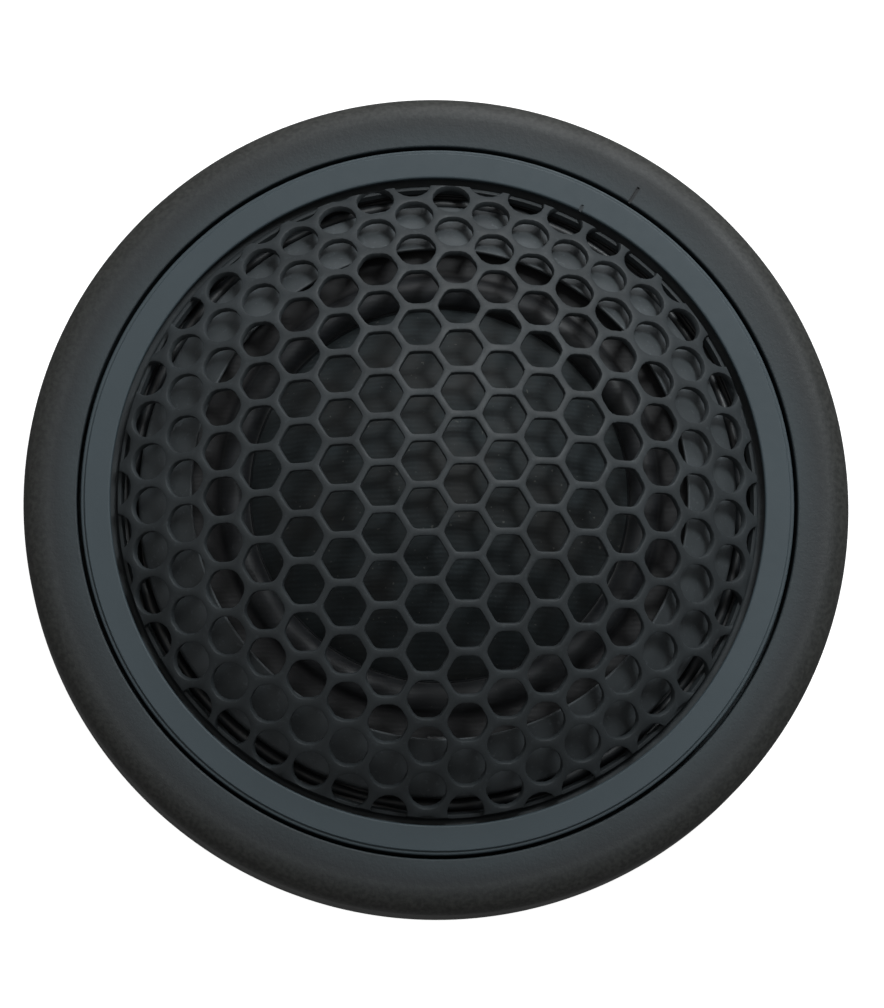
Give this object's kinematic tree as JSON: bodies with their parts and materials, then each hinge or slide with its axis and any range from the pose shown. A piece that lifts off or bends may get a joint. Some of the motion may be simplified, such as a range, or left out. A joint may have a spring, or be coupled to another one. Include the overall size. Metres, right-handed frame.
{
  "type": "car tweeter",
  "caption": "Flush-mount car tweeter: soft-dome driver capsule behind a domed hexagon-mesh grille, twist-locked into a round panel cup.",
  "frame": {"origin": "on the tweeter's axis in the panel's front plane, at the centre of the flange's rear face", "axes": "+Z along the axis towards the listener, +Y up in the picture's view, +X to the viewer's right"},
  "size_m": [0.056, 0.056, 0.0277],
  "materials": {
    "cup_plastic": "fine moulded grain, matte",
    "brass": "turned and knurled",
    "foam": "closed-cell foam",
    "housing_plastic": "moulded, semi-gloss",
    "bezel_satin": "satin grey paint",
    "felt": "pressed felt",
    "grille_paint": "powder-coated perforated steel",
    "plate_paint": "matte paint",
    "copper": "enamelled copper wire and copper tags",
    "steel": "zinc-plated steel",
    "nickel": "nickel-plated neodymium",
    "board": "phenolic board",
    "tinned": "tinned brass",
    "wire_sleeve": "insulated wire",
    "dome_cloth": "coated silk, fine weave",
    "surround_cloth": "coated fabric roll",
    "former": "thin aluminium tube, lacquered"
  },
  "bodies": {
    "cup": {"mounting_cup": "cup_plastic", "thread_insert": "brass", "panel_gasket": "foam"},
    "capsule": {"capsule_housing": "housing_plastic", "bezel_ring": "bezel_satin", "bezel_gasket": "felt", "grille": "grille_paint", "front_plate": "plate_paint", "carrier_ring": "housing_plastic", "solder_tags": "copper", "yoke_cup": "steel", "magnet": "nickel", "pole_plate": "steel", "damping_felt": "felt", "rear_pad": "foam", "rear_cover": "housing_plastic", "cover_screws": "steel", "terminal_board": "board", "terminal_positive": "tinned", "terminal_negative": "tinned", "terminal_rivets": "brass", "lead_wires": "wire_sleeve"},
    "diaphragm": {"dome": "dome_cloth", "surround": "surround_cloth", "coil_former": "former", "voice_coil": "copper"}
  },
  "joints": [
    {"name": "capsule_twist", "type": "hinge", "parent": "cup", "child": "capsule", "pos_m": [0, 0, 0], "axis": [0, 0, 1], "range_deg": [-6.5, 20]},
    {"name": "dome_travel", "type": "slide", "parent": "capsule", "child": "diaphragm", "axis": [0, 0, 1], "range_m": [-0.0004, 0.0004], "stiffness_N_per_m": 13000, "deforming": ["surround"]}
  ]
}
